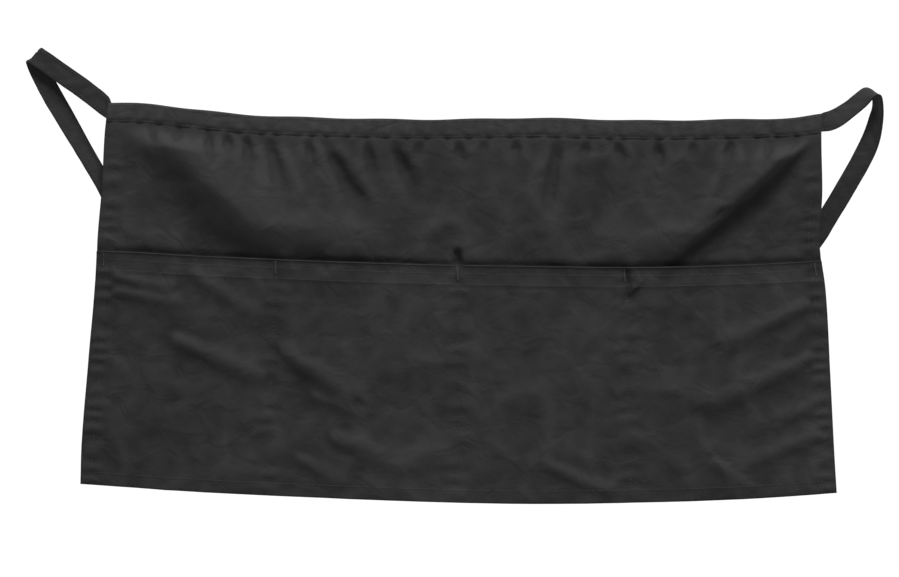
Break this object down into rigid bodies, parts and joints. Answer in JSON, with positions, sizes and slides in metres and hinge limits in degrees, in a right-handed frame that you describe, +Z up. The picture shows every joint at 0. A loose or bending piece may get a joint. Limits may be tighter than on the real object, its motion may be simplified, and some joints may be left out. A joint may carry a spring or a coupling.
{
  "type": "waist apron",
  "caption": "Short black twill waist apron with a wide divided pocket, folded waistband and tied waist straps, hung up by the straps.",
  "frame": {"origin": "middle of the waistband's back face, where it lies on the waist", "axes": "+X along the waistband to the viewer's right, +Y from the viewer into the wearer, +Z up"},
  "size_m": [0.6916, 0.0692, 0.3674],
  "materials": {
    "apron_twill": "matt black twill",
    "band_twill": "matt black twill, folded and stitched",
    "tie_twill": "matt black twill, folded and stitched",
    "thread": "black polyester thread"
  },
  "bodies": {
    "root": {"upper_panel": "apron_twill", "lower_panel": "apron_twill", "pocket_panel_1": "apron_twill", "pocket_panel_2": "apron_twill", "pocket_panel_3": "apron_twill", "pocket_panel_4": "apron_twill", "waistband": "band_twill", "tie_left": "tie_twill", "tie_right": "tie_twill", "tie_knot": "tie_twill"}
  },
  "joints": []
}
